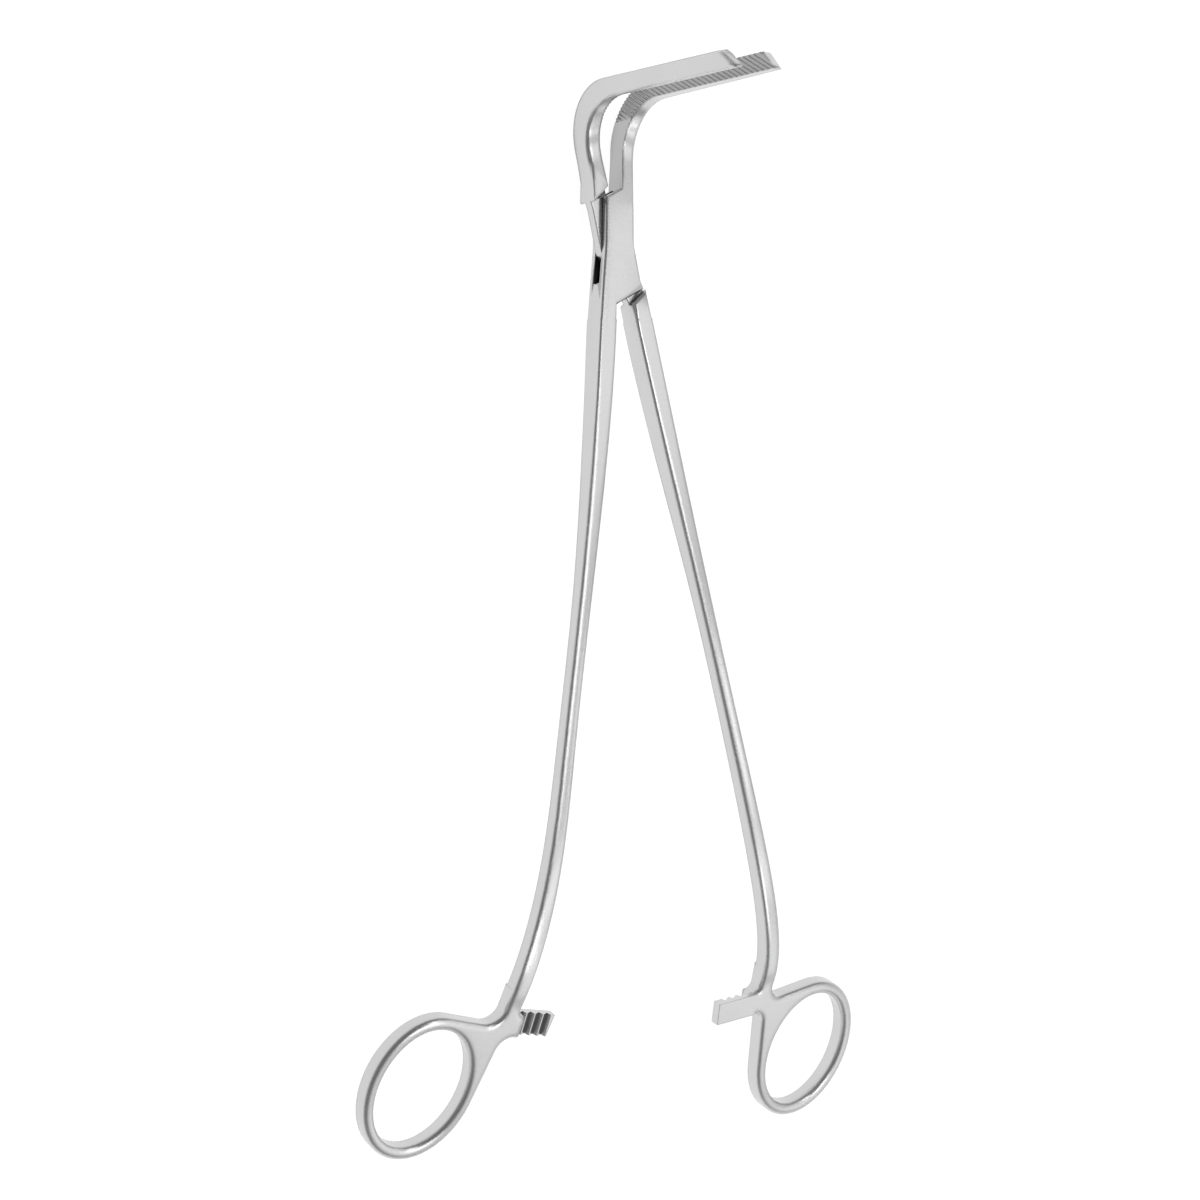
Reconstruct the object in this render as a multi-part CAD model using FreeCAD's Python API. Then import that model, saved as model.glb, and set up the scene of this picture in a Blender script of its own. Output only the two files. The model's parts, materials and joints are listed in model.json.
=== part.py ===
"""Intestinal clamp with a box lock, ring handles and jaws bent at a right angle.

The two halves are drawn closed, in the instrument's own frame: the pin is at the origin and
lies along Y, Z runs up the instrument to the jaws, X is the direction in which it opens, and
the jaws are bent towards -Y.  Each half is then turned about the pin to the open rest pose,
and the whole clamp is laid on its back, so that it rests on its rings and the heel of its jaws.
"""
import FreeCAD, Part
import math
import os

from FreeCAD import Placement, Rotation, Vector

# Opening of the clamp
OPEN_HALF_ANGLE = 7.7        # each half, from closed to the rest pose, degrees

# Box lock
BOX_THICK = 6.2              # across both cheeks, along the pin
SLOT_THICK = 2.5             # gap between the cheeks
TONGUE_CLEAR = 0.1           # running clearance on each side of the tongue
CHEEK_HALF_WIDTH = 4.6       # cheek beside the pin
CHEEK_TOP = 12.2             # upper outer corner of a cheek above the pin
CHEEK_WING = 7.8             # reach of the cheek's lower wing
CHEEK_WING_Z = -9.3          # its lower corner
LOCK_BOTTOM = 14.2           # inner end of the cheeks' lower edge, below the pin
SHOULDER_CLEAR = 0.6         # gap between a cheek's end and the shoulder that faces it
SLOT_END = 9.6               # ends of the slot, above and below the pin, at its outer side
PIN_RADIUS = 1.7
PIN_RUNNING_CLEAR = 0.05     # radial clearance of the tongue on the pin
TONGUE_HALF_WIDTH = 5.0
BOX_CHAMFER = 0.6            # along the edges of the box and its shoulders

# Shank
SHANK_TOP = 18.5             # end of the lock's block, below the pin
SHANK_INNER_GAP = 0.6        # half gap between the closed shanks at that level
SHANK_TOP_WIDTH = 5.2        # its thickness there is the box's
SHANK_MID_WIDTH = 3.6
SHANK_MID_THICK = 3.8
SHANK_END_WIDTH = 4.4
SHANK_END_THICK = 4.5
SHANK_CORNER = 0.8           # rounding of its edges at its lower end
SHANK_BOW = 6.9              # distance of the shank from the middle plane at half its length
SHANK_SPREAD = 15.0          # the same at its lower end
BEND_START = 158.0           # level below the pin where the shank bends back
BEND_BACK = 4.4              # how far back it stands there
SHANK_END_BACK = 13.5        # how far back it stands at its lower end
SHANK_END = 185.7            # level of its lower end below the pin
SHANK_SECTIONS = 10

# Ring plate, in a plane tilted back
RING_TILT = 31.0
PLATE_THICK = 4.8
RING_CENTRE_X = 33.1
RING_CENTRE_T = 27.4         # down the plate from the shank's lower end
RING_HOLE_X = 12.75          # semi-axes of the finger hole
RING_HOLE_T = 16.4
RING_BAR = 3.2               # width of the ring's bar
PLATE_ROUND = 1.1            # rounding of the plate's edges
WEB_NECK = 15.2              # inner edge of the web below the ratchet
WEB_VALLEY = 9.2             # where the web's upper edge meets the shank, down the plate
WEB_FILLET = 4.2

# Ratchet
RATCHET_TOP = 5.7            # down the plate
RATCHET_TALL = 6.0
RATCHET_ROOT = 11.0          # where each toothed arm leaves the full plate
MALE_RATCHET_END = -0.9      # past the middle plane, when closed
FEMALE_RATCHET_END = 0.3     # just short of it
RATCHET_FILLET = 1.6         # between the shank and the ratchet's upper edge
RATCHET_TEETH = 4
TOOTH_PITCH = 2.5
TOOTH_DEPTH = 1.0
TOOTH_LEAN = 0.6             # sideways run of a groove, from the middle of the arm to its edge
RATCHET_GAP = 0.3            # between the crests of the two ratchets

# Jaws
JAW_GAP = 0.3                # between the closed jaws
JAW_WIDTH = 4.1              # across one jaw, along X
JAW_TIP_WIDTH = 3.0
JAW_THICK = 5.0              # the upright part, along Y
JAW_BAR_TALL = 4.8           # the bar's height
JAW_HEEL = 41.8              # the bar's top, carried back to the pin's axis, above the pin
JAW_REACH = 62.0             # tip of the jaw in front of the pin
JAW_DIP = 2.5                # the bar falls this much below a right angle, degrees
JAW_INNER_RADIUS = 12.5
JAW_OUTER_RADIUS = 15.5
JAW_TIP_CUT = 4.5            # how far the upper corner of the tip is cut back
JAW_CHAMFER = 0.8            # along the inside of the bend

# Serrations of the jaws' inner faces
SERRATION_PITCH = 1.0        # square to the grooves
SERRATION_DEPTH = 0.25
SERRATION_LEAN = 32.0        # the grooves fall towards the tip by this much, degrees
SERRATION_START = 32.5       # lower border of the serrated face above the pin

MALE = 1                     # its shank is on the +X side
FEMALE = -1


def face_of(points, plane):
    """Return the face of a closed polygon; plane places each pair of coordinates in space."""
    corners = [plane(a, b) for a, b in points]
    return Part.Face(Part.makePolygon(corners + corners[:1]))


def prism_y(points, low, high):
    """Extrude an outline drawn in X and Z from Y = low to Y = high."""
    return face_of(points, lambda x, z: Vector(x, low, z)).extrude(Vector(0, high - low, 0))


def mirrored(shape, side):
    """Return the shape on the given side of the middle plane; it is drawn for +X."""
    if side > 0:
        return shape
    return shape.mirror(Vector(0, 0, 0), Vector(1, 0, 0))


def rounded_section(centre, across, through, width, thick, radius):
    """Return a rounded rectangle as a wire, width along across and thick along through."""
    a = width / 2
    b = thick / 2
    r = radius
    k = r * (1 - math.sqrt(0.5))

    def at(u, v):
        return centre + across * u + through * v

    edges = []
    for su, sv in ((1, 1), (-1, 1), (-1, -1), (1, -1)):
        first = at(su * a, sv * (b - r))
        middle = at(su * (a - k), sv * (b - k))
        last = at(su * (a - r), sv * b)
        if su * sv > 0:
            corner = Part.Arc(first, middle, last).toShape()
        else:
            corner = Part.Arc(last, middle, first).toShape()
        edges.append(corner)
    wire = []
    for i, corner in enumerate(edges):
        following = edges[(i + 1) % 4]
        wire.append(corner)
        wire.append(Part.makeLine(corner.Vertexes[-1].Point, following.Vertexes[0].Point))
    return Part.Wire(wire)


def tilt_directions():
    """Return the ring plate's downward direction and its normal towards the front."""
    tilt = math.radians(RING_TILT)
    down = Vector(0, math.sin(tilt), -math.cos(tilt))
    front = Vector(0, -math.cos(tilt), -math.sin(tilt))
    return down, front


def eased(first, last, share):
    """Return the value between first and last, with a level start and end."""
    return first + (last - first) * (1 - math.cos(math.pi * share)) / 2


def shank(side):
    """Loft one shank along its bowed centreline, from the lock to the ring plate."""
    down, _ = tilt_directions()
    top_x = SHANK_INNER_GAP + SHANK_TOP_WIDTH / 2
    middle = (SHANK_TOP + BEND_START) / 2
    end = Vector(SHANK_SPREAD, SHANK_END_BACK, -SHANK_END)
    line = Part.BSplineCurve()
    line.interpolate([
        Vector(top_x, 0, -SHANK_TOP),
        Vector(top_x + (SHANK_BOW - top_x) * 0.32, 0, -SHANK_TOP - (middle - SHANK_TOP) * 0.45),
        Vector(SHANK_BOW, BEND_BACK * 0.12, -middle),
        Vector((SHANK_BOW + SHANK_SPREAD * 0.8) / 2, BEND_BACK * 0.45, -(middle + BEND_START) / 2),
        Vector(SHANK_SPREAD * 0.81, BEND_BACK, -BEND_START),
        end - down * 5 - Vector(0.3, 0, 0),
        end,
        end + down * 4,
    ])
    length = line.length()
    sections = []
    for i in range(SHANK_SECTIONS + 1):
        share = i / SHANK_SECTIONS
        place = line.parameterAtDistance(length * share, line.FirstParameter)
        along = line.tangent(place)[0] if i else Vector(0, 0, -1)
        across = Vector(0, 1, 0).cross(along).normalize()
        through = along.cross(across).normalize()
        if share < 0.5:
            width = eased(SHANK_TOP_WIDTH, SHANK_MID_WIDTH, share * 2)
            thick = eased(BOX_THICK, SHANK_MID_THICK, share * 2)
        else:
            width = eased(SHANK_MID_WIDTH, SHANK_END_WIDTH, share * 2 - 1)
            thick = eased(SHANK_MID_THICK, SHANK_END_THICK, share * 2 - 1)
        corner = eased(BOX_CHAMFER, SHANK_CORNER, share)
        sections.append(rounded_section(line.value(place), across, through, width, thick, corner))
    return mirrored(Part.makeLoft(sections, True, False), side)


def plate_point(x, t, n=0.0):
    """Return a point of the ring plate: x from the middle plane, t down it, n to the front."""
    down, front = tilt_directions()
    return Vector(x, SHANK_END_BACK, -SHANK_END) + down * t + front * n


def plate_prism(points, low, high):
    """Extrude an outline of the ring plate from n = low to n = high."""
    _, front = tilt_directions()
    outline = face_of(points, lambda x, t: plate_point(x, t, low))
    return outline.extrude(front * (high - low))


def ellipse_prism(semi_x, semi_t, low, high):
    """Extrude an ellipse about the finger ring's centre through the plate."""
    down, front = tilt_directions()
    centre = plate_point(RING_CENTRE_X, RING_CENTRE_T, low)
    turn = Rotation(Vector(1, 0, 0), down, front, "ZXY")
    edge = Part.Ellipse(Vector(0, 0, 0), max(semi_x, semi_t), min(semi_x, semi_t)).toShape()
    edge.Placement = Placement(centre, turn * Rotation(Vector(0, 0, 1), 90))
    solid = Part.Face(Part.Wire([edge])).extrude(front * (high - low))
    return solid


def ring_tangent(x, t, turn):
    """Return where the line from x, t touches the ring's outer ellipse, on the side that turn names."""
    semi_x = RING_HOLE_X + RING_BAR
    semi_t = RING_HOLE_T + RING_BAR
    u = (x - RING_CENTRE_X) / semi_x
    w = (t - RING_CENTRE_T) / semi_t
    angle = math.atan2(w, u) + turn * math.acos(1 / math.hypot(u, w))
    return RING_CENTRE_X + semi_x * math.cos(angle), RING_CENTRE_T + semi_t * math.sin(angle)


def edges_at(shape, corners, direction):
    """Return the straight edges along direction that stand on the given points of the plate."""
    found = []
    for edge in shape.Edges:
        if not isinstance(edge.Curve, Part.Line) or abs(edge.Curve.Direction.dot(direction)) < 0.999:
            continue
        middle = edge.valueAt((edge.FirstParameter + edge.LastParameter) / 2)
        if any((middle - plate_point(x, t)).Length < 0.05 for x, t in corners):
            found.append(edge)
    return found


def ring_plate(side):
    """Make the finger ring, the web that joins it to the shank, and the ratchet's root."""
    half = PLATE_THICK / 2
    down, front = tilt_directions()
    ring = ellipse_prism(RING_HOLE_X + RING_BAR, RING_HOLE_T + RING_BAR, -half, half)
    inner = SHANK_SPREAD - SHANK_END_WIDTH / 2
    outer = SHANK_SPREAD + SHANK_END_WIDTH / 2
    bottom = RATCHET_TOP + RATCHET_TALL
    low = ring_tangent(WEB_NECK, bottom, -1)
    high = ring_tangent(outer, WEB_VALLEY, 1)
    web = plate_prism([
        (inner, -1), (inner, RATCHET_TOP), (RATCHET_ROOT, RATCHET_TOP), (RATCHET_ROOT, bottom),
        (WEB_NECK, bottom), low, (RING_CENTRE_X, RING_CENTRE_T), high, (outer, WEB_VALLEY), (outer, -1),
    ], -half, half)
    large = edges_at(web, [(WEB_NECK, bottom), (outer, WEB_VALLEY)], front)
    web = web.makeFillet(WEB_FILLET, large)
    web = web.makeFillet(RATCHET_FILLET, edges_at(web, [(inner, RATCHET_TOP)], front))
    plate = ring.fuse(web).removeSplitter()
    plate = plate.cut(ellipse_prism(RING_HOLE_X, RING_HOLE_T, -half - 1, half + 1))
    origin = plate_point(0, 0)
    rims = []
    for edge in plate.Edges:
        middle = edge.valueAt((edge.FirstParameter + edge.LastParameter) / 2) - origin
        on_face = abs(abs(middle.dot(front)) - half) < 1e-4
        if on_face and middle.dot(down) > 0 and middle.x > RATCHET_ROOT + 0.01:
            rims.append(edge)
    return mirrored(plate.makeFillet(PLATE_ROUND, rims), side)


def ratchet(side):
    """Make one ratchet arm: the male one is in front, the female one behind it."""
    half = PLATE_THICK / 2
    end = MALE_RATCHET_END if side == MALE else FEMALE_RATCHET_END
    crest = RATCHET_GAP / 2 * side
    low, high = sorted((crest, half * side))
    bottom = RATCHET_TOP + RATCHET_TALL
    arm = plate_prism([
        (end, RATCHET_TOP), (end + 0.4, bottom), (RATCHET_ROOT + 1, bottom), (RATCHET_ROOT + 1, RATCHET_TOP),
    ], low, high)
    deep = crest + TOOTH_DEPTH * side
    shift = plate_point(-TOOTH_LEAN, RATCHET_TALL + 2) - plate_point(0, 0)
    for i in range(RATCHET_TEETH):
        x = RATCHET_ROOT - (i + 1) * TOOTH_PITCH + TOOTH_LEAN
        steep = x + TOOTH_PITCH * 0.25
        ramp = x + TOOTH_PITCH * 0.85
        corners = [plate_point(x, RATCHET_TOP - 1, crest), plate_point(steep, RATCHET_TOP - 1, deep),
                   plate_point(ramp, RATCHET_TOP - 1, crest)]
        arm = arm.cut(Part.Face(Part.makePolygon(corners + corners[:1])).extrude(shift))
    return mirrored(arm, side)


def bar_level(level, y):
    """Return how high a line of the bar stands at the depth y; level is its height at the pin's axis."""
    return level + y * math.tan(math.radians(JAW_DIP))


def jaw_bend(y, level, radius):
    """Return the centre, start, middle and end of the bend from the upright at y into the bar."""
    turn = math.pi / 2 + math.radians(JAW_DIP)
    centre = Vector(0, y - radius, bar_level(level, y) - radius * math.tan(turn / 2))
    arc = [centre + Vector(0, radius * math.cos(a), radius * math.sin(a)) for a in (0, turn / 2, turn)]
    return [centre] + arc


def jaw_side_profile():
    """Return the face of a half's side view in Y and Z: lock, upright, bend and bar."""
    half = JAW_THICK / 2
    box = BOX_THICK / 2
    knee = CHEEK_TOP - 2
    taper = CHEEK_TOP + 10
    _, back, heel, top = jaw_bend(half, JAW_HEEL, JAW_OUTER_RADIUS)
    sole = JAW_HEEL - JAW_BAR_TALL
    _, front, crook, under = jaw_bend(-half, sole, JAW_INNER_RADIUS)
    tip_low = Vector(0, -JAW_REACH, bar_level(sole, -JAW_REACH))
    tip_high = Vector(0, JAW_TIP_CUT - JAW_REACH, bar_level(JAW_HEEL, JAW_TIP_CUT - JAW_REACH))
    lower = [Vector(0, -half, taper), Vector(0, -box, knee), Vector(0, -box, -SHANK_TOP),
             Vector(0, box, -SHANK_TOP), Vector(0, box, knee), Vector(0, half, taper)]
    edges = [Part.makeLine(a, b) for a, b in zip(lower, lower[1:])]
    edges += [
        Part.makeLine(lower[-1], back),
        Part.Arc(back, heel, top).toShape(),
        Part.makeLine(top, tip_high),
        Part.makeLine(tip_high, tip_low),
        Part.makeLine(tip_low, under),
        Part.Arc(under, crook, front).toShape(),
        Part.makeLine(front, lower[0]),
    ]
    return Part.Face(Part.Wire(edges))


def taper_start():
    """Return the depth at which the bar starts to narrow, at the end of the bend."""
    return -JAW_THICK / 2 - JAW_INNER_RADIUS


def jaw_outer(y):
    """Return how far the outer face of a jaw stands from the middle plane at the depth y."""
    slope = (JAW_WIDTH - JAW_TIP_WIDTH) / (JAW_REACH + taper_start())
    return JAW_GAP / 2 + JAW_WIDTH + slope * (y - taper_start())


def jaw_taper(side):
    """Return the block that a half lies in: it narrows along the bar to the tip."""
    far = 14.0
    behind_bend = -BOX_THICK / 2 - 1
    beyond = -JAW_REACH - 3
    outline = [(-far, BOX_THICK), (far, BOX_THICK), (far, behind_bend), (jaw_outer(behind_bend), behind_bend),
               (jaw_outer(beyond), beyond), (-far, beyond)]
    corners = [Vector(x * side, y, -SHANK_TOP - 1) for x, y in outline]
    block = Part.Face(Part.makePolygon(corners + corners[:1]))
    return block.extrude(Vector(0, 0, JAW_HEEL + SHANK_TOP + 2))


def on_back(point):
    """Tell whether a point of a jaw lies on its back, the outside of its bend or the bar's top."""
    centre, start, _, end = jaw_bend(JAW_THICK / 2, JAW_HEEL, JAW_OUTER_RADIUS)
    if point.z <= start.z:
        return point.y > 0
    if point.y >= end.y:
        return (point - Vector(point.x, centre.y, centre.z)).Length > JAW_OUTER_RADIUS - 0.01
    return point.z > bar_level(JAW_HEEL, point.y) - 0.01


def front_jaw_edges(solid, jaw_side):
    """Return the edges of a jaw's outer face along the inside of its bend and round its tip."""
    upright = JAW_GAP / 2 + JAW_WIDTH
    edges = []
    for edge in solid.Edges:
        middle = edge.valueAt((edge.FirstParameter + edge.LastParameter) / 2)
        surface = min(upright, jaw_outer(middle.y))
        in_face = abs(edge.tangentAt(edge.FirstParameter).x) < 0.5
        outside = abs(middle.x * jaw_side - surface) < 0.01
        crease = all(abs(v.Point.y - taper_start()) < 1e-3 for v in edge.Vertexes)
        if middle.z > CHEEK_TOP + 11 and in_face and outside and not crease and not on_back(middle):
            edges.append(edge)
    return edges


def box_edges(solid):
    """Return the edges of the lock's front and back faces.

    The edge above a cheek's wing is left out: at the front the jaw's chamfer runs on along it.  So
    is the lower end, where the shank joins.
    """
    face = BOX_THICK / 2
    found = []
    for edge in solid.Edges:
        ends = [v.Point for v in edge.Vertexes]
        middle = (ends[0] + ends[-1]) / 2
        on_face = all(abs(abs(p.y) - face) < 1e-4 for p in ends) and abs(middle.y) > 1
        over_wing = middle.x > CHEEK_HALF_WIDTH - 1.6 and middle.z > CHEEK_WING_Z + 5
        if on_face and not over_wing and middle.z > -SHANK_TOP + 0.01:
            found.append(edge)
    return found


def upper_half(outline, jaw_side):
    """Cut the lock and jaw of one half from its front and side outlines."""
    side_solid = jaw_side_profile().extrude(Vector(30, 0, 0))
    side_solid.translate(Vector(-15, 0, 0))
    front_solid = prism_y(outline, -JAW_REACH - 3, BOX_THICK)
    solid = side_solid.common(front_solid).common(jaw_taper(jaw_side)).removeSplitter()
    return solid.makeChamfer(JAW_CHAMFER, front_jaw_edges(solid, jaw_side))


def cheek_rise():
    """Return the slope of the cheeks' lower and upper ends, which the shoulders follow."""
    return (LOCK_BOTTOM + CHEEK_WING_Z) / CHEEK_WING


def shoulder_level(x):
    """Return the level of the male half's lower shoulders at x, when closed."""
    return cheek_rise() * x - LOCK_BOTTOM - SHOULDER_CLEAR


def female_outline():
    """Return the front outline of the female half's lock and jaw, in X and Z."""
    inner = SHANK_INNER_GAP
    outer = inner + SHANK_TOP_WIDTH
    jaw_in = JAW_GAP / 2
    jaw_out = jaw_in + JAW_WIDTH
    rise = cheek_rise()
    return [
        (-inner, -SHANK_TOP), (-inner, -LOCK_BOTTOM - 0.4), (0, -LOCK_BOTTOM),
        (CHEEK_WING, CHEEK_WING_Z), (CHEEK_HALF_WIDTH + 1.2, CHEEK_WING_Z + 3.4),
        (CHEEK_HALF_WIDTH + 0.1, -1.8), (jaw_out, CHEEK_TOP),
        (jaw_out, JAW_HEEL + 1), (jaw_in, JAW_HEEL + 1),
        (jaw_in, CHEEK_TOP + (CHEEK_HALF_WIDTH + jaw_in) * rise),
        (-CHEEK_HALF_WIDTH - 0.2, CHEEK_TOP), (-CHEEK_HALF_WIDTH, 0), (-outer, -SHANK_TOP),
    ]


def male_outline():
    """Return the front outline of the male half's shoulders, tongue and jaw, in X and Z."""
    inner = SHANK_INNER_GAP
    outer = inner + SHANK_TOP_WIDTH
    jaw_in = JAW_GAP / 2
    jaw_out = jaw_in + JAW_WIDTH
    wide = TONGUE_HALF_WIDTH
    side = outer - 0.2
    return [
        (inner, -SHANK_TOP), (inner, shoulder_level(inner) + 0.5), (-wide, -1.0), (-wide, CHEEK_TOP - 2),
        (-wide - 0.3, CHEEK_TOP + 0.8), (-jaw_out, CHEEK_TOP + 5.5), (-jaw_out, JAW_HEEL + 1),
        (-jaw_in, JAW_HEEL + 1), (-jaw_in, LOCK_BOTTOM - 0.5), (wide, 1.0),
        (wide, shoulder_level(wide) + 1.4), (side, shoulder_level(side) + 0.5), (outer, -SHANK_TOP),
    ]


def female_upper():
    """Make the female half's box, with its slot, pin holes and jaw."""
    solid = upper_half(female_outline(), 1)
    solid = solid.makeChamfer(BOX_CHAMFER, box_edges(solid))
    gap = SLOT_THICK / 2
    wide = 16.0
    slot = prism_y([
        (-wide, -SLOT_END), (-CHEEK_HALF_WIDTH - 0.8, -SLOT_END), (-0.2, -LOCK_BOTTOM + 0.3),
        (0.4, -SHANK_TOP - 2), (wide, -SHANK_TOP - 2), (wide, SLOT_END),
        (CHEEK_HALF_WIDTH + 0.8, SLOT_END), (0.2, LOCK_BOTTOM - 0.3), (0.0, CHEEK_TOP + 8),
        (-wide, CHEEK_TOP + 8),
    ], -gap, gap)
    ends = []
    for edge in slot.Edges:
        points = [v.Point for v in edge.Vertexes]
        level = sum(p.z for p in points) / len(points)
        flat = abs(points[0].y - points[-1].y) < 1e-6 and abs(points[0].z - points[-1].z) > 1
        if flat and SLOT_END < abs(level) < LOCK_BOTTOM and abs(points[0].x - points[-1].x) > 1:
            ends.append(edge)
    slot = slot.makeFillet(gap - 0.05, ends)
    bore = Part.makeCylinder(PIN_RADIUS, BOX_THICK + 2, Vector(0, -BOX_THICK / 2 - 1, 0), Vector(0, 1, 0))
    return solid.cut(slot).cut(bore)


def male_upper():
    """Make the male half's shoulders, the thin tongue between them, and the jaw."""
    solid = upper_half(male_outline(), -1)
    thin = SLOT_THICK / 2 - TONGUE_CLEAR
    deep = BOX_THICK
    wide = 16.0
    rise = cheek_rise()
    high = CHEEK_TOP + CHEEK_HALF_WIDTH * rise + SHOULDER_CLEAR
    region = [(-wide, shoulder_level(-wide)), (wide, shoulder_level(wide)),
              (wide, high + wide * rise), (-wide, high - wide * rise)]
    for near, far in ((thin, deep), (-deep, -thin)):
        solid = solid.cut(prism_y(region, near, far))
    solid = solid.removeSplitter()
    solid = solid.makeChamfer(BOX_CHAMFER, box_edges(solid))
    hole = PIN_RADIUS + PIN_RUNNING_CLEAR
    bore = Part.makeCylinder(hole, BOX_THICK + 2, Vector(0, -BOX_THICK / 2 - 1, 0), Vector(0, 1, 0))
    return solid.cut(bore)


def serrations(jaw_side):
    """Return the oblique grooves of a jaw's inner face, from their border in the bend to the tip."""
    face_x = JAW_GAP / 2 * jaw_side
    deep = face_x + SERRATION_DEPTH * jaw_side
    above = face_x - SERRATION_DEPTH * 0.4 * jaw_side
    lean = math.radians(SERRATION_LEAN)
    along = Vector(0, -math.cos(lean), -math.sin(lean))
    across = Vector(0, -math.sin(lean), math.cos(lean))
    flank = across * (SERRATION_PITCH * 0.45)
    start = Vector(0, JAW_THICK / 2, SERRATION_START)
    reach = JAW_REACH + JAW_THICK
    count = int((reach * math.sin(lean) + (JAW_HEEL - SERRATION_START) * math.cos(lean)) / SERRATION_PITCH)
    grooves = []
    for i in range(count):
        place = start + across * (SERRATION_PITCH * (i + 0.5)) - along * reach
        corners = [place - flank + Vector(above, 0, 0), place + Vector(deep, 0, 0),
                   place + flank + Vector(above, 0, 0)]
        face = Part.Face(Part.makePolygon(corners + corners[:1]))
        grooves.append(face.extrude(along * (reach * 2)))
    window = Part.makeBox(2, reach, JAW_HEEL, Vector(face_x - 1, -JAW_REACH, SERRATION_START))
    return Part.makeCompound(grooves).common(window)


def half(side):
    """Assemble one half of the clamp as a single closed solid."""
    upper = female_upper() if side == FEMALE else male_upper()
    upper = upper.cut(serrations(-side))
    whole = upper.fuse([shank(side), ring_plate(side), ratchet(side)]).removeSplitter()
    return whole


def lock_pin():
    """Make the rivet pin, flush with both cheeks."""
    return Part.makeCylinder(PIN_RADIUS, BOX_THICK, Vector(0, -BOX_THICK / 2, 0), Vector(0, 1, 0))


def opened(shape, side):
    """Turn a half about the pin from closed to the rest pose."""
    turned = shape.copy()
    turned.rotate(Vector(0, 0, 0), Vector(0, 1, 0), -OPEN_HALF_ANGLE * side)
    return turned


def resting_tilt(points):
    """Return the angle at which the rings and the jaws' heel stand equally low."""
    low = 0.0
    high = 20.0
    for _ in range(30):
        angle = (low + high) / 2
        sine = math.sin(math.radians(angle))
        cosine = math.cos(math.radians(angle))
        ring_low = min(-p.y * sine + p.z * cosine for p in points if p.y < 0)
        heel_low = min(-p.y * sine + p.z * cosine for p in points if p.y > 0)
        if ring_low < heel_low:
            low = angle
        else:
            high = angle
    return angle


def laid_down(shapes):
    """Lay the clamp on its back, rings and jaw heels on the ground, and centre it."""
    flat = []
    for shape in shapes:
        turned = shape.copy()
        turned.rotate(Vector(0, 0, 0), Vector(1, 0, 0), -90)
        flat.append(turned)
    points = flat[0].tessellate(0.1)[0] + flat[1].tessellate(0.1)[0]
    angle = resting_tilt(points)
    for shape in flat:
        shape.rotate(Vector(0, 0, 0), Vector(1, 0, 0), -angle)
    box = Part.makeCompound(flat).optimalBoundingBox(False)
    move = Vector(-box.Center.x, -box.Center.y, -box.ZMin)
    for shape in flat:
        shape.translate(move)
    print("tilt", angle, "pin at", move)
    return flat


def main():
    os.makedirs("parts", exist_ok=True)
    names = ["female_half", "male_half", "box_lock_pin"]
    female = opened(half(FEMALE), FEMALE)
    male = opened(half(MALE), MALE)
    pin = opened(lock_pin(), FEMALE)
    for name, shape in zip(names, laid_down([female, male, pin])):
        print(name, "solids", len(shape.Solids), "valid", shape.isValid(), "volume", round(shape.Volume, 1))
        shape.exportStep("parts/" + name + ".step")


main()
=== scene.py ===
"""Studio scene of an open right-angled clamp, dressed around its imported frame."""

import json
import logging
import math
from dataclasses import dataclass
from enum import Enum

import bmesh
import bpy
from mathutils import Matrix, Vector

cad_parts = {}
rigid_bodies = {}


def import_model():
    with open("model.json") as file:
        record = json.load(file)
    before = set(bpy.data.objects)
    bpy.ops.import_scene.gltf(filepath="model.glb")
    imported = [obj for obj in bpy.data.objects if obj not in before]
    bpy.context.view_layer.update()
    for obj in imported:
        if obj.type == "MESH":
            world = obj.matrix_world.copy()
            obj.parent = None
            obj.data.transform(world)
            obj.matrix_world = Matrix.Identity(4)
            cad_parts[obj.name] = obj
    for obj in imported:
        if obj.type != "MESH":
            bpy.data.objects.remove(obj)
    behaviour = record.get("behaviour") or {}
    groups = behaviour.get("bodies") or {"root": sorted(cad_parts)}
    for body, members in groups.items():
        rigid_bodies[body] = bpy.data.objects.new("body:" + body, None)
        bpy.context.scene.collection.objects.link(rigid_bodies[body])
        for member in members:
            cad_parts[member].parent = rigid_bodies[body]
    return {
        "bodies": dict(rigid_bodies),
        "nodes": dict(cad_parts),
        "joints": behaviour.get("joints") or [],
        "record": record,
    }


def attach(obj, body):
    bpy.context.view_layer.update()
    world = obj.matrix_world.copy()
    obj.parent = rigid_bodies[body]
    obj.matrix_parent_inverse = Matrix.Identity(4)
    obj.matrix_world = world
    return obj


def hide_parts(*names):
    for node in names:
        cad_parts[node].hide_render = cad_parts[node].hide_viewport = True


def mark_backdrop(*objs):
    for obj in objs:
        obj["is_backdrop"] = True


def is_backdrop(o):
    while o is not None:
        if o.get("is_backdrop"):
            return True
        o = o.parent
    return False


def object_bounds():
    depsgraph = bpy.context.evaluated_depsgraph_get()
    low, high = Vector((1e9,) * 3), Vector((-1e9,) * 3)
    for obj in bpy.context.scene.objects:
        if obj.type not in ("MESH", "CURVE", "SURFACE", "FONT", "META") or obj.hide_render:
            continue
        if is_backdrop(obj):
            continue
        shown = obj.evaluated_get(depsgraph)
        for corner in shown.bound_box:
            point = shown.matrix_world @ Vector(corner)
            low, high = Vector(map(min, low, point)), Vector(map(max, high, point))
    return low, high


log = logging.getLogger("clamp_scene")

SENSOR_WIDTH = 36.0
CLIP_END = 100.0
RING_TILT = 31.0             # the ring plates' lean, in degrees

# Levels along the clamp from its pin, in metres, between which the rounding of the edges changes
SHANK_ROUND_LEVEL = -0.06
BOX_ROUND_LEVEL = -0.02
BOX_TOP_LEVEL = 0.014
JAW_ROUND_LEVEL = 0.018

# Distances from the pin's centre: no edge is rounded within the first, all are beyond the second
PIN_RIM_REACH = 0.0043
PIN_RIM_CLEAR = 0.00559

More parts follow.
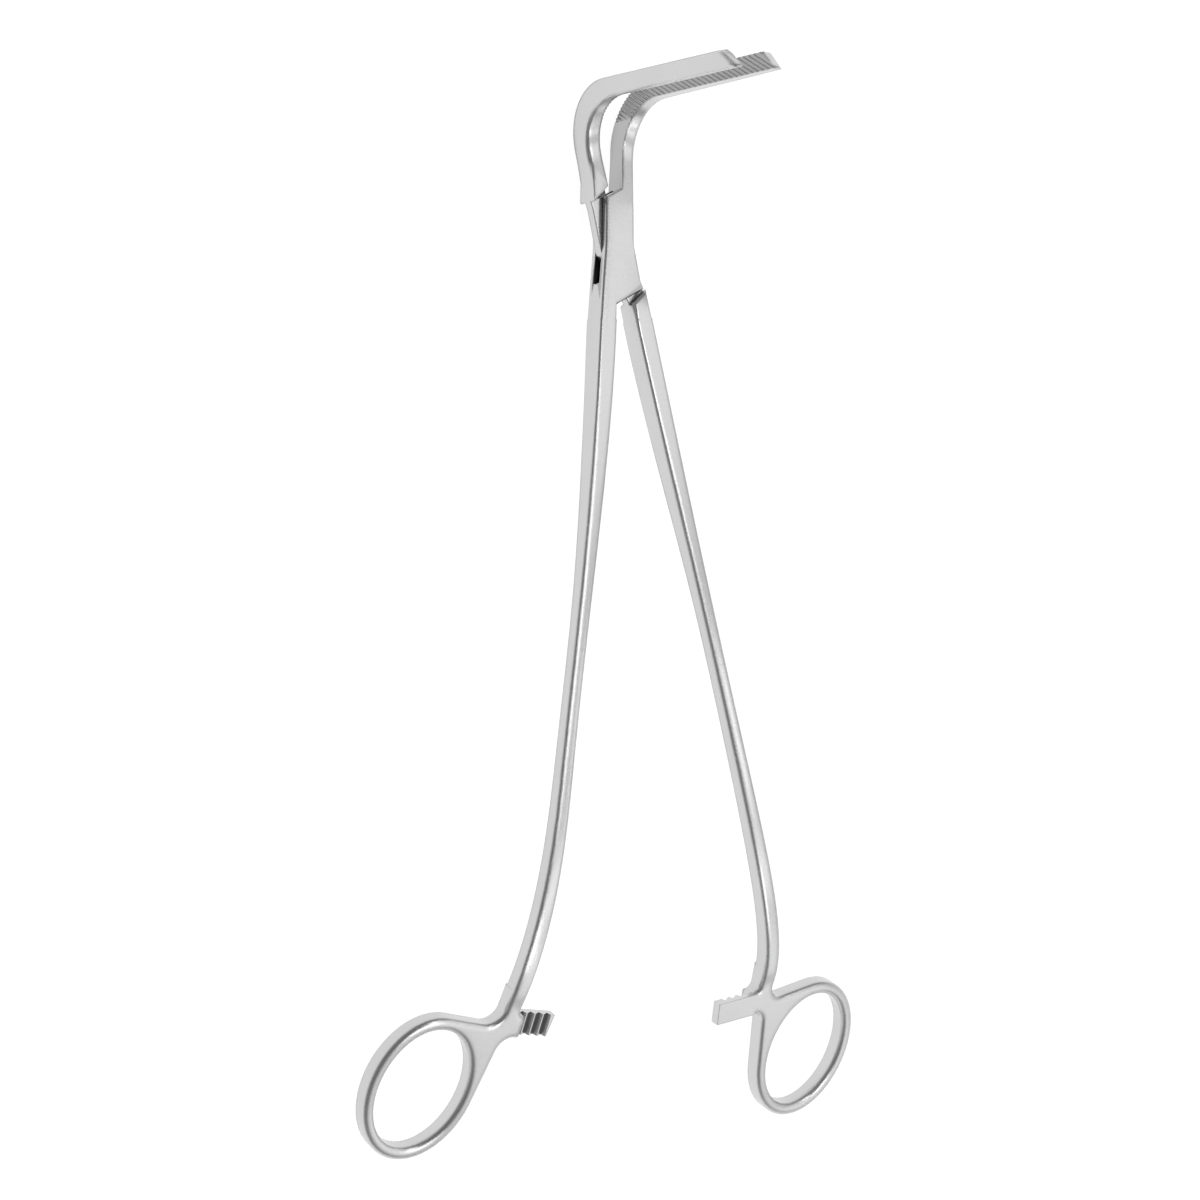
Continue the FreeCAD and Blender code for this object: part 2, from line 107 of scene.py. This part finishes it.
# The Mix node's sockets for colours
MIX_A = 6
MIX_B = 7
MIX_RESULT = 2


class Half(Enum):
    """The two forged halves: each one's node, its body, and the way its jaw faces."""

    FEMALE = ("female_half", "female", -1.0)
    MALE = ("male_half", "male", 1.0)

    @property
    def node(self) -> str:
        """Name of the solid that holds this half's shape."""
        return self.value[0]

    @property
    def body(self) -> str:
        """Name of the body that this half moves with."""
        return self.value[1]

    @property
    def inward(self) -> float:
        """Sign, along the opening direction, of the way this half's jaw faces the other."""
        return self.value[2]


@dataclass(frozen=True)
class Axes:
    """The clamp's own directions as it rests, and the centre of its pin.

    Up runs from the rings to the jaws, across is the opening direction, and front is the side that
    the jaws bend to.
    """

    pin: Vector
    across: Vector
    up: Vector
    front: Vector

    def place(self, across: float, up: float, front: float) -> Vector:
        """Point at these distances from the pin, in metres."""
        return self.pin + self.across * across + self.up * up + self.front * front


def clamp_axes(frame: dict) -> Axes:
    """Read the clamp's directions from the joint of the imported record.


    Returns:
        The clamp's axes in the row frame.
    """
    joint = frame["joints"][0]
    front = Vector(joint["axis"]).normalized()
    across = Vector((1.0, 0.0, 0.0))
    return Axes(Vector(joint["pos_m"]), across, front.cross(across).normalized(), front)


@dataclass
class StudioCamera:
    """A long lens, high and to the left of the lying clamp, turned as the photograph is."""

    azimuth: float = 38.0
    elevation: float = -4.0
    roll: float = 4.85
    distance: float = 1.2
    frame_side: float = 0.3
    aim_up: float = 0.012
    centre_right: float = -0.0024
    centre_up: float = -0.0996

    def build(self, axes: Axes) -> bpy.types.Object:
        """Place the camera by the clamp's own axes and make it the scene's camera.

        Args:
            axes: the clamp's directions and its pin.

        Returns:
            The camera object.
        """
        azimuth = math.radians(self.azimuth)
        elevation = math.radians(self.elevation)
        roll = math.radians(self.roll)
        level = axes.across * math.cos(azimuth) + axes.front * math.sin(azimuth)
        sideways = axes.across * math.sin(azimuth) - axes.front * math.cos(azimuth)
        rise = axes.up * math.cos(elevation) + sideways * math.sin(elevation)
        back = axes.up * math.sin(elevation) - sideways * math.cos(elevation)
        right = level * math.cos(roll) - rise * math.sin(roll)
        up = level * math.sin(roll) + rise * math.cos(roll)
        centre = axes.place(0.0, self.aim_up, 0.0) + right * self.centre_right + up * self.centre_up
        data = bpy.data.cameras.new("photo_camera")
        data.sensor_fit = "HORIZONTAL"
        data.sensor_width = SENSOR_WIDTH
        data.lens = SENSOR_WIDTH * self.distance / self.frame_side
        data.clip_end = CLIP_END
        camera = bpy.data.objects.new("photo_camera", data)
        turn = Matrix((right, up, back)).transposed().to_4x4()
        camera.matrix_world = Matrix.Translation(centre + back * self.distance) @ turn
        bpy.context.scene.collection.objects.link(camera)
        bpy.context.scene.camera = camera
        return camera


@dataclass(frozen=True)
class SoftLamp:
    """A soft box that faces one level of the clamp, with its width across the clamp.

    The level is measured up from the pin, toward is the way from there to the lamp in the row frame,
    and the lengths are in metres. The radiance is what a perfect mirror would show.
    """

    name: str
    level: float
    toward: tuple[float, float, float]
    distance: float
    width: float
    height: float
    radiance: float

    def build(self, axes: Axes) -> bpy.types.Object:
        """Hang the lamp at its distance from its level of the clamp, facing it.

        Args:
            axes: the clamp's directions and its pin.

        Returns:
            The lamp object.
        """
        data = bpy.data.lights.new(self.name, "AREA")
        data.shape = "RECTANGLE"
        data.size = self.width
        data.size_y = self.height
        data.energy = self.radiance * math.pi * self.width * self.height
        lamp = bpy.data.objects.new(self.name, data)
        away = Vector(self.toward).normalized()
        across = (axes.across - away * axes.across.dot(away)).normalized()
        turn = Matrix((across, away.cross(across), away)).transposed().to_4x4()
        centre = axes.place(0.0, self.level, 0.0) + away * self.distance
        lamp.matrix_world = Matrix.Translation(centre) @ turn
        bpy.context.scene.collection.objects.link(lamp)
        return lamp


class Nodes:
    """A short hand for building one node tree."""

    def __init__(self, tree: bpy.types.NodeTree) -> None:
        """Empty the tree and keep it."""
        tree.nodes.clear()
        self.tree = tree

    def add(self, kind: str, **settings: object) -> bpy.types.Node:
        """Add a node of a kind and give it its settings and socket values.

        Args:
            kind: the node's type, without the leading ShaderNode.
            settings: an attribute of the node, or an input by its name with spaces as underscores.

        Returns:
            The new node.
        """
        node = self.tree.nodes.new("ShaderNode" + kind)
        for key, value in settings.items():
            name = key.replace("_", " ").title()
            if hasattr(node, key):
                setattr(node, key, value)
            elif name in node.inputs:
                node.inputs[name].default_value = value
        return node

    def join(self, source: bpy.types.NodeSocket, target: bpy.types.NodeSocket) -> None:
        """Link an output to an input."""
        self.tree.links.new(source, target)


@dataclass(frozen=True)
class WhiteFloor:
    """A white sweep that keeps a soft shadow and looks the same to the camera and in the steel."""

    colour: float = 0.9
    glow: float = 0.78
    brightness: float = 1.2
    side: float = 14.0

    def material(self) -> bpy.types.Material:
        """Matt white, mixed with plain white where the camera or a reflection sees it.

        Returns:
            The floor's material.
        """
        material = bpy.data.materials.new("white_floor")
        material.use_nodes = True
        kit = Nodes(material.node_tree)
        out = kit.add("OutputMaterial")
        matt = kit.add("BsdfDiffuse")
        matt.inputs["Color"].default_value = (self.colour, self.colour, self.colour, 1.0)
        glow = kit.add("Emission")
        glow.inputs["Color"].default_value = (1.0, 1.0, 1.0, 1.0)
        glow.inputs["Strength"].default_value = self.brightness
        path = kit.add("LightPath")
        glossy = kit.add("Math", operation="MAXIMUM")
        through = kit.add("Math", operation="MAXIMUM")
        share = kit.add("Math", operation="MULTIPLY")
        share.inputs[1].default_value = self.glow
        mix = kit.add("MixShader")
        kit.join(path.outputs["Is Camera Ray"], glossy.inputs[0])
        kit.join(path.outputs["Is Glossy Ray"], glossy.inputs[1])
        kit.join(glossy.outputs[0], through.inputs[0])
        kit.join(path.outputs["Is Transmission Ray"], through.inputs[1])
        kit.join(through.outputs[0], share.inputs[0])
        kit.join(share.outputs[0], mix.inputs[0])
        kit.join(matt.outputs[0], mix.inputs[1])
        kit.join(glow.outputs[0], mix.inputs[2])
        kit.join(mix.outputs[0], out.inputs["Surface"])
        return material

    def build(self, low: Vector) -> bpy.types.Object:
        """Lay the floor under the clamp.

        Args:
            low: the clamp's lowest corner.

        Returns:
            The floor object.
        """
        reach = self.side / 2
        signs = ((-1, -1), (1, -1), (1, 1), (-1, 1))
        corners = [(across * reach, along * reach, low.z) for across, along in signs]
        mesh = bpy.data.meshes.new("floor")
        mesh.from_pydata(corners, [], [(0, 1, 2, 3)])
        mesh.materials.append(self.material())
        floor = bpy.data.objects.new("floor", mesh)
        bpy.context.scene.collection.objects.link(floor)
        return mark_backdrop(floor)


@dataclass(frozen=True)
class SatinSteel:
    """Ground and tumbled stainless steel: neutral grey, soft gloss, a fine even grain.

    The radii of the softened edges and the reach of the painted shade are in metres. Painted shade darkens
    the grey in a nook, which sees little of its surroundings, down to a set share of its grey.
    """

    name: str
    grey: float = 0.62
    roughness: float = 0.25
    spread: float = 0.06
    cloud_scale: float = 70.0
    cloud_depth: float = 0.025
    cloud_detail: float = 3.0
    grain_scale: float = 1900.0
    grain_detail: float = 2.0
    grain_height: float = 0.00001
    edge_radius: float = 0.0008
    shank_radius: float = 0.002
    jaw_radius: float = 0.0014
    # painted shade: the reach and range of the ambient occlusion that darkens the grey in nooks
    painted_shade_reach: float = 0.004
    painted_shade_dark: float = 0.34
    painted_shade_light: float = 0.76
    painted_shade_floor: float = 0.75
    edge_samples: int = 8

    def rounding(self, kit: Nodes, place: bpy.types.Node, axes: Axes) -> bpy.types.Node:
        """Soften the edges: little round the box, more down the shanks, not at all round the flush pin.

        Args:
            kit: the material's nodes.
            place: the node that gives the coordinates.
            axes: the clamp's directions and its pin.

        Returns:
            The node that gives the rounded normal.
        """
        offset = kit.add("VectorMath", operation="SUBTRACT")
        offset.inputs[1].default_value = axes.pin
        level = kit.add("VectorMath", operation="DOT_PRODUCT")
        level.inputs[1].default_value = axes.up
        reach = kit.add("VectorMath", operation="LENGTH")
        radius = kit.add("MapRange")
        radius.inputs["From Min"].default_value = SHANK_ROUND_LEVEL
        radius.inputs["From Max"].default_value = BOX_ROUND_LEVEL
        radius.inputs["To Min"].default_value = self.shank_radius
        radius.inputs["To Max"].default_value = self.edge_radius
        jaw = kit.add("MapRange")
        jaw.inputs["From Min"].default_value = BOX_TOP_LEVEL
        jaw.inputs["From Max"].default_value = JAW_ROUND_LEVEL
        jaw.inputs["To Max"].default_value = self.jaw_radius
        larger = kit.add("Math", operation="MAXIMUM")
        clear = kit.add("MapRange")
        clear.inputs["From Min"].default_value = PIN_RIM_REACH
        clear.inputs["From Max"].default_value = PIN_RIM_CLEAR
        product = kit.add("Math", operation="MULTIPLY")
        bevel = kit.add("Bevel", samples=self.edge_samples)
        kit.join(place.outputs["Object"], offset.inputs[0])
        kit.join(offset.outputs["Vector"], level.inputs[0])
        kit.join(offset.outputs["Vector"], reach.inputs[0])
        kit.join(level.outputs["Value"], radius.inputs["Value"])
        kit.join(reach.outputs["Value"], clear.inputs["Value"])
        kit.join(level.outputs["Value"], jaw.inputs["Value"])
        kit.join(radius.outputs["Result"], larger.inputs[0])
        kit.join(jaw.outputs["Result"], larger.inputs[1])
        kit.join(larger.outputs[0], product.inputs[0])
        kit.join(clear.outputs["Result"], product.inputs[1])
        kit.join(product.outputs[0], bevel.inputs["Radius"])
        return bevel

    def material(self, axes: Axes) -> bpy.types.Material:
        """Build the finish on Object coordinates.

        Args:
            axes: the clamp's directions and its pin.

        Returns:
            The material.
        """
        material = bpy.data.materials.new(self.name)
        material.use_nodes = True
        kit = Nodes(material.node_tree)
        out = kit.add("OutputMaterial")
        steel = kit.add("BsdfPrincipled", metallic=1.0)
        place = kit.add("TexCoord")
        cloud = kit.add("TexNoise", scale=self.cloud_scale, detail=self.cloud_detail)
        grain = kit.add("TexNoise", scale=self.grain_scale, detail=self.grain_detail)
        kit.join(place.outputs["Object"], cloud.inputs["Vector"])
        kit.join(place.outputs["Object"], grain.inputs["Vector"])
        tone = kit.add("MapRange")
        tone.inputs["To Min"].default_value = self.grey - self.cloud_depth
        tone.inputs["To Max"].default_value = self.grey + self.cloud_depth
        colour = kit.add("CombineColor")
        for channel in ("Red", "Green", "Blue"):
            kit.join(tone.outputs["Result"], colour.inputs[channel])
        kit.join(cloud.outputs["Fac"], tone.inputs["Value"])
        # painted shade: ambient occlusion darkens the grey in nooks, slots and gaps between parts
        painted_shade_ao = kit.add("AmbientOcclusion", samples=self.edge_samples, distance=self.painted_shade_reach)
        shade = kit.add("MapRange")
        shade.inputs["From Min"].default_value = self.painted_shade_dark
        shade.inputs["From Max"].default_value = self.painted_shade_light
        shade.inputs["To Min"].default_value = self.painted_shade_floor
        kit.join(painted_shade_ao.outputs["AO"], shade.inputs["Value"])
        painted_shade_colour = kit.add("Mix", data_type="RGBA", blend_type="MULTIPLY")
        painted_shade_colour.inputs["Factor"].default_value = 1.0
        kit.join(colour.outputs["Color"], painted_shade_colour.inputs[MIX_A])
        kit.join(shade.outputs["Result"], painted_shade_colour.inputs[MIX_B])
        kit.join(painted_shade_colour.outputs[MIX_RESULT], steel.inputs["Base Color"])
        gloss = kit.add("MapRange")
        gloss.inputs["To Min"].default_value = self.roughness - self.spread
        gloss.inputs["To Max"].default_value = self.roughness + self.spread
        kit.join(grain.outputs["Fac"], gloss.inputs["Value"])
        kit.join(gloss.outputs["Result"], steel.inputs["Roughness"])
        bump = kit.add("Bump")
        bump.inputs["Distance"].default_value = self.grain_height
        kit.join(grain.outputs["Fac"], bump.inputs["Height"])
        if self.edge_radius > 0.0:
            kit.join(self.rounding(kit, place, axes).outputs["Normal"], bump.inputs["Normal"])
        kit.join(bump.outputs["Normal"], steel.inputs["Normal"])
        kit.join(steel.outputs["BSDF"], out.inputs["Surface"])
        return material


class Finish(Enum):
    """How the surfaces of a half are finished, in the order of its material slots.

    Each holds its material's name, its grey, its roughness, and the rounding of its edges at the box and
    down the shanks.
    """

    SATIN = ("satin_steel_finish", 0.62, 0.25, 0.0008, 0.002)
    CRISP = ("ratchet_steel_finish", 0.62, 0.25, 0.0004, 0.0004)
    # partly painted shade: the darker greys of the ground and serrated faces stand for their own finish
    # and for the shade between the jaws and in the ratchet's grooves
    GROUND_AND_PAINTED_SHADE = ("ground_steel_and_painted_shade_finish", 0.47, 0.3, 0.0, 0.0)
    SERRATED_AND_PAINTED_SHADE = ("serrated_steel_and_painted_shade_finish", 0.39, 0.32, 0.0, 0.0)
    # painted shade: a near-black grey for the slot's inner faces, where shade falls inside the box lock
    SLOT_PAINTED_SHADE = ("slot_painted_shade_finish", 0.06, 0.45, 0.0, 0.0)

    def steel(self) -> SatinSteel:
        """Return the steel with this finish's grey, roughness and edges."""
        name, grey, roughness, edge, shank = self.value
        return SatinSteel(name, grey=grey, roughness=roughness, edge_radius=edge, shank_radius=shank)


@dataclass
class Studio:
    """The world, the lamps, the floor and the camera."""

    horizon: float = 0.4
    zenith: float = 0.2
    fade_low: float = 0.05
    fade_high: float = 0.6
    tent_toward: tuple[float, float, float] = (0.658, -0.212, 0.722)
    tent_edge: float = 0.55
    tent_heart: float = 0.86
    tent_glow: float = 0.5
    lamps: tuple[SoftLamp, ...] = (
        SoftLamp("box_panel", 0.0, (0.614, 0.186, 0.767), 0.45, 0.18, 0.16, 0.5),
        SoftLamp("box_strip", 0.0, (0.2, 0.1, 1.0), 0.6, 0.2, 0.2, 3.2),
        SoftLamp("shank_panel", -0.168, (0.61, -0.08, 0.78), 0.5, 0.3, 0.12, 0.7),
        SoftLamp("right_shank_panel", -0.137, (0.714, 0.166, 0.68), 0.152, 0.025, 0.05, 1.3),
        SoftLamp("ring_panel", -0.2, (0.61, -0.52, 0.6), 0.45, 0.36, 0.26, 0.42),
        SoftLamp("ring_strip", -0.2, (0.15, -0.3, 0.95), 0.6, 0.3, 0.22, 2.4),
    )

    def world(self) -> bpy.types.World:
        """Pale at the horizon, darker overhead, with one broad lit sheet of a light tent.

        Returns:
            The world.
        """
        world = bpy.data.worlds.new("studio_world")
        bpy.context.scene.world = world
        world.use_nodes = True
        kit = Nodes(world.node_tree)
        out = kit.add("OutputWorld")
        light = kit.add("Background")
        place = kit.add("TexCoord")
        split = kit.add("SeparateXYZ")
        fade = kit.add("MapRange")
        fade.inputs["From Min"].default_value = self.fade_low
        fade.inputs["From Max"].default_value = self.fade_high
        fade.inputs["To Min"].default_value = self.horizon
        fade.inputs["To Max"].default_value = self.zenith
        facing = kit.add("VectorMath", operation="DOT_PRODUCT")
        facing.inputs[1].default_value = self.tent_toward
        tent = kit.add("MapRange", interpolation_type="SMOOTHSTEP")
        tent.inputs["From Min"].default_value = self.tent_edge
        tent.inputs["From Max"].default_value = self.tent_heart
        tent.inputs["To Max"].default_value = self.tent_glow
        both = kit.add("Math", operation="ADD")
        kit.join(place.outputs["Generated"], split.inputs[0])
        kit.join(place.outputs["Generated"], facing.inputs[0])
        kit.join(split.outputs["Z"], fade.inputs["Value"])
        kit.join(facing.outputs["Value"], tent.inputs["Value"])
        kit.join(fade.outputs["Result"], both.inputs[0])
        kit.join(tent.outputs["Result"], both.inputs[1])
        kit.join(both.outputs[0], light.inputs["Color"])
        kit.join(light.outputs["Background"], out.inputs["Surface"])
        return world

    def build(self, axes: Axes, low: Vector) -> None:
        """Build the world, the lamps, the floor and the camera.

        Args:
            axes: the clamp's directions and its pin.
            low: the clamp's lowest corner.
        """
        self.world()
        for lamp in self.lamps:
            lamp.build(axes)
        WhiteFloor().build(low)
        StudioCamera().build(axes)
        log.info("studio ready")


@dataclass
class ForgedHalf:
    """One forged half: its exact solid with its faces joined, so that curves shade as curves.

    The angles are in degrees. The levels and reaches are in metres from the pin, in the closed clamp, and
    tell the serrated, ground, toothed and slotted faces from the tumbled ones.
    """

    half: Half
    finishes: tuple[bpy.types.Material, ...]
    crease: float = 28.0
    weld: float = 1e-6
    opening: float = 7.7
    grip_start: float = 0.0322
    inner_start: float = 0.008
    facing_least: float = 0.35
    ratchet_level: float = -0.189
    ratchet_reach: float = 0.0109
    flank_least: float = 0.3
    flank_most: float = 0.93
    flank_across: float = 0.2
    slot_depth: float = 0.0013
    slot_reach: float = 0.0146
    slot_side: float = 0.9
    normal_weight: int = 100

    def finish_of(self, face: bpy.types.MeshPolygon, axes: Axes, closing: Matrix, plate: Vector) -> Finish:
        """Say which finish a face of the half has.

        Args:
            face: the face, in the row frame.
            axes: the clamp's directions and its pin.
            closing: the turn that closes this half.
            plate: the normal of its ring's plate, in the closed clamp.

        Returns:
            The face's finish.
        """
        spot = closing @ (face.center - axes.pin)
        normal = closing @ face.normal
        level = spot.dot(axes.up)
        across = self.half.inward * spot.dot(axes.across)
        sideways = abs(normal.dot(axes.across))
        in_slot = abs(spot.dot(axes.front)) < self.slot_depth and abs(level) < self.slot_reach
        # painted shade: the slot's inner faces get the near-black finish
        if self.half is Half.FEMALE and in_slot and sideways < self.slot_side:
            return Finish.SLOT_PAINTED_SHADE
        if level < self.ratchet_level and across < self.ratchet_reach:
            # partly painted shade: the leaning flanks of the ratchet's teeth get the darker ground grey,
            # for the shade in its grooves
            flank = abs(normal.dot(plate))
            leaning = self.flank_least < flank < self.flank_most and sideways > self.flank_across
            return Finish.GROUND_AND_PAINTED_SHADE if leaning else Finish.CRISP
        if normal.dot(axes.across) * self.half.inward < self.facing_least:
            return Finish.SATIN
        # partly painted shade: the jaw's inner side, facing the other jaw, gets the darker serrated and
        # ground greys
        if level > self.grip_start:
            return Finish.SERRATED_AND_PAINTED_SHADE
        return Finish.GROUND_AND_PAINTED_SHADE if level > self.inner_start else Finish.SATIN

    def mark_faces(self, mesh: bpy.types.Mesh, axes: Axes) -> None:
        """Give the serrated face, the jaw's inner side and the ratchet their own finishes, and paint the
        slot near-black as painted shade.

        Args:
            mesh: the half's mesh, in the row frame.
            axes: the clamp's directions and its pin.
        """
        order = list(Finish)
        closing = Matrix.Rotation(math.radians(-self.opening * self.half.inward), 3, axes.front)
        tilt = math.radians(RING_TILT)
        plate = axes.front * math.cos(tilt) - axes.up * math.sin(tilt)
        for face in mesh.polygons:
            face.material_index = order.index(self.finish_of(face, axes, closing, plate))

    def build(self, frame: dict, axes: Axes) -> bpy.types.Object:
        """Copy the solid, join its triangles and shade it smooth up to its edges.

        Args:
            axes: the clamp's directions and its pin.

        Returns:
            The piece that stands for the node.
        """
        source = frame["nodes"][self.half.node]
        work = bmesh.new()
        work.from_mesh(source.data)
        work.transform(source.matrix_world)
        bmesh.ops.remove_doubles(work, verts=work.verts, dist=self.weld)
        mesh = bpy.data.meshes.new(self.half.node + "_forging")
        work.to_mesh(mesh)
        work.free()
        mesh.materials.clear()
        for finish in self.finishes:
            mesh.materials.append(finish)
        mesh.shade_smooth()
        self.mark_faces(mesh, axes)
        mesh.set_sharp_from_angle(angle=math.radians(self.crease))
        piece = bpy.data.objects.new(self.half.node + "_forging", mesh)
        weighting = piece.modifiers.new("weighting", "WEIGHTED_NORMAL")
        weighting.mode = "FACE_AREA"
        weighting.weight = self.normal_weight
        weighting.keep_sharp = True
        bpy.context.scene.collection.objects.link(piece)
        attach(piece, self.half.body)
        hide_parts(self.half.node)
        log.info("%s: %d faces", piece.name, len(mesh.polygons))
        return piece


def dress_node(frame: dict, name: str, finish: bpy.types.Material) -> None:
    """Give a solid that stays in view its finish.

    Args:
        name: the node.
        finish: the material.
    """
    node = frame["nodes"][name]
    if not node.material_slots:
        raise SystemExit(name + " has no material slot")
    for place in node.material_slots:
        place.material = finish


def main() -> None:
    """Load the frame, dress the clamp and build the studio."""
    logging.basicConfig(level=logging.INFO)
    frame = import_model()
    cad_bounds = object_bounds()
    axes = clamp_axes(frame)
    finishes = tuple(finish.steel().material(axes) for finish in Finish)
    for half in Half:
        ForgedHalf(half, finishes).build(frame, axes)
    dress_node(frame, "box_lock_pin", SatinSteel("pin_steel_finish", edge_radius=0.0).material(axes))
    Studio().build(axes, Vector(cad_bounds[0]))
    bpy.context.scene.view_settings.view_transform = "Standard"


if __name__ == "__main__":
    main()
